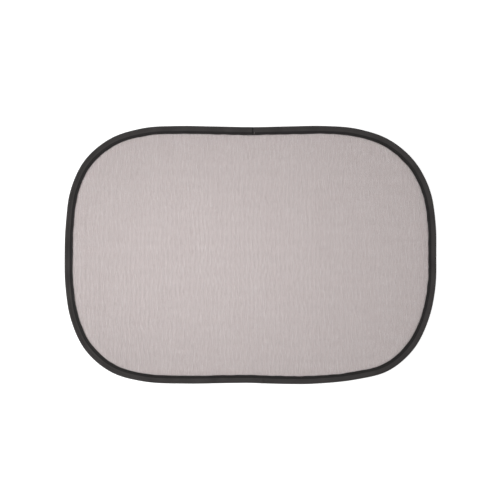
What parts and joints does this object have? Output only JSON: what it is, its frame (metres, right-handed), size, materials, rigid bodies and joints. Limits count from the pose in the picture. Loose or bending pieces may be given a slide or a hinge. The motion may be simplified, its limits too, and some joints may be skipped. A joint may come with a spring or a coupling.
{
  "type": "car side window sunshade",
  "caption": "Pop-up sunshade for a car's side window: a knitted mesh over clear cling film, sewn into a black tape binding round a spring-steel wire hoop.",
  "frame": {"origin": "middle of the outline, on the plane that the back of the rim lies on", "axes": "+X along the length, to the right seen from the front; +Y up the window; +Z out of the front face, away from the glass"},
  "size_m": [0.4401, 0.3057, 0.0041],
  "materials": {
    "mesh_knit": "matte pale grey knitted polyester mesh, fine open holes",
    "clear_film": "clear glossy soft film",
    "spring_steel": "drawn spring wire",
    "binding_tape": "matte woven polyester tape",
    "seam_thread": "twisted polyester thread"
  },
  "bodies": {
    "root": {"mesh_panel": "mesh_knit", "cling_film": "clear_film", "frame_wire": "spring_steel", "wire_sleeve": "spring_steel", "edge_binding": "binding_tape", "needle_thread": "seam_thread", "bobbin_thread": "seam_thread"}
  },
  "joints": []
}
